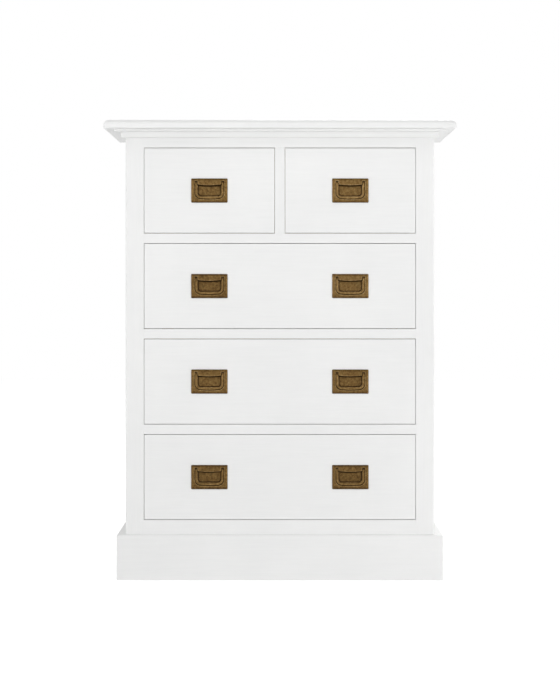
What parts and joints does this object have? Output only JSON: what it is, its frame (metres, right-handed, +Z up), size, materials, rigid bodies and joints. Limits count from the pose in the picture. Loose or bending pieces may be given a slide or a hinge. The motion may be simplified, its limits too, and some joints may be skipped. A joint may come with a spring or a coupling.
{
  "type": "commode chest",
  "caption": "Painted chest of drawers with small drawers over full-width ones, a cornice top, a plinth and flush brass pulls with swinging bails.",
  "frame": {"origin": "on the floor, under the middle of the top board's outline", "axes": "+X to the chest's left-to-right as seen from the front, -Y out of the drawer fronts, +Z up"},
  "size_m": [0.915, 0.45, 1.2],
  "materials": {
    "white_paint": "satin white paint over solid wood",
    "drawer_wood": "bare planed hardwood",
    "plywood": "bare sanded plywood",
    "antique_brass": "cast, darkened antique brass",
    "screw_steel": "bright zinc plated"
  },
  "bodies": {
    "carcass": {"top_board": "white_paint", "cornice_front": "white_paint", "cornice_left": "white_paint", "cornice_right": "white_paint", "stile_left": "white_paint", "stile_right": "white_paint", "top_rail": "white_paint", "divider_rails": "white_paint", "bottom_rail": "white_paint", "center_muntin": "white_paint", "side_left": "white_paint", "side_right": "white_paint", "back_panel": "plywood", "bottom_board": "plywood", "plinth_front": "white_paint", "plinth_left": "white_paint", "plinth_right": "white_paint", "drawer_runners": "drawer_wood", "rear_rails": "drawer_wood", "glue_blocks": "drawer_wood", "drawer_stops": "drawer_wood", "back_screws": "screw_steel"},
    "small_left_drawer": {"small_left_front": "white_paint", "small_left_sides": "drawer_wood", "small_left_back": "drawer_wood", "small_left_bottom": "plywood", "small_left_pull": "antique_brass", "small_left_screws": "screw_steel"},
    "small_left_bail": {"small_left_bail": "antique_brass"},
    "small_right_drawer": {"small_right_front": "white_paint", "small_right_sides": "drawer_wood", "small_right_back": "drawer_wood", "small_right_bottom": "plywood", "small_right_pull": "antique_brass", "small_right_screws": "screw_steel"},
    "small_right_bail": {"small_right_bail": "antique_brass"},
    "upper_drawer": {"upper_front": "white_paint", "upper_sides": "drawer_wood", "upper_back": "drawer_wood", "upper_bottom": "plywood", "upper_pulls": "antique_brass", "upper_screws": "screw_steel"},
    "upper_bail_left": {"upper_bail_left": "antique_brass"},
    "upper_bail_right": {"upper_bail_right": "antique_brass"},
    "middle_drawer": {"middle_front": "white_paint", "middle_sides": "drawer_wood", "middle_back": "drawer_wood", "middle_bottom": "plywood", "middle_pulls": "antique_brass", "middle_screws": "screw_steel"},
    "middle_bail_left": {"middle_bail_left": "antique_brass"},
    "middle_bail_right": {"middle_bail_right": "antique_brass"},
    "lower_drawer": {"lower_front": "white_paint", "lower_sides": "drawer_wood", "lower_back": "drawer_wood", "lower_bottom": "plywood", "lower_pulls": "antique_brass", "lower_screws": "screw_steel"},
    "lower_bail_left": {"lower_bail_left": "antique_brass"},
    "lower_bail_right": {"lower_bail_right": "antique_brass"}
  },
  "joints": [
    {"name": "small_left_slide", "type": "slide", "parent": "carcass", "child": "small_left_drawer", "axis": [0, -1, 0], "range_m": [0, 0.3]},
    {"name": "small_left_bail_hinge", "type": "hinge", "parent": "small_left_drawer", "child": "small_left_bail", "pos_m": [-0.18475, -0.1725, 1.03835], "axis": [-1, 0, 0], "range_deg": [0, 95]},
    {"name": "small_right_slide", "type": "slide", "parent": "carcass", "child": "small_right_drawer", "axis": [0, -1, 0], "range_m": [0, 0.3]},
    {"name": "small_right_bail_hinge", "type": "hinge", "parent": "small_right_drawer", "child": "small_right_bail", "pos_m": [0.18475, -0.1725, 1.03835], "axis": [-1, 0, 0], "range_deg": [0, 95]},
    {"name": "upper_slide", "type": "slide", "parent": "carcass", "child": "upper_drawer", "axis": [0, -1, 0], "range_m": [0, 0.3]},
    {"name": "upper_bail_left_hinge", "type": "hinge", "parent": "upper_drawer", "child": "upper_bail_left", "pos_m": [-0.18475, -0.1725, 0.78795], "axis": [-1, 0, 0], "range_deg": [0, 95]},
    {"name": "upper_bail_right_hinge", "type": "hinge", "parent": "upper_drawer", "child": "upper_bail_right", "pos_m": [0.18475, -0.1725, 0.78795], "axis": [-1, 0, 0], "range_deg": [0, 95]},
    {"name": "middle_slide", "type": "slide", "parent": "carcass", "child": "middle_drawer", "axis": [0, -1, 0], "range_m": [0, 0.3]},
    {"name": "middle_bail_left_hinge", "type": "hinge", "parent": "middle_drawer", "child": "middle_bail_left", "pos_m": [-0.18475, -0.1725, 0.53755], "axis": [-1, 0, 0], "range_deg": [0, 95]},
    {"name": "middle_bail_right_hinge", "type": "hinge", "parent": "middle_drawer", "child": "middle_bail_right", "pos_m": [0.18475, -0.1725, 0.53755], "axis": [-1, 0, 0], "range_deg": [0, 95]},
    {"name": "lower_slide", "type": "slide", "parent": "carcass", "child": "lower_drawer", "axis": [0, -1, 0], "range_m": [0, 0.3]},
    {"name": "lower_bail_left_hinge", "type": "hinge", "parent": "lower_drawer", "child": "lower_bail_left", "pos_m": [-0.18475, -0.1725, 0.28715], "axis": [-1, 0, 0], "range_deg": [0, 95]},
    {"name": "lower_bail_right_hinge", "type": "hinge", "parent": "lower_drawer", "child": "lower_bail_right", "pos_m": [0.18475, -0.1725, 0.28715], "axis": [-1, 0, 0], "range_deg": [0, 95]}
  ]
}
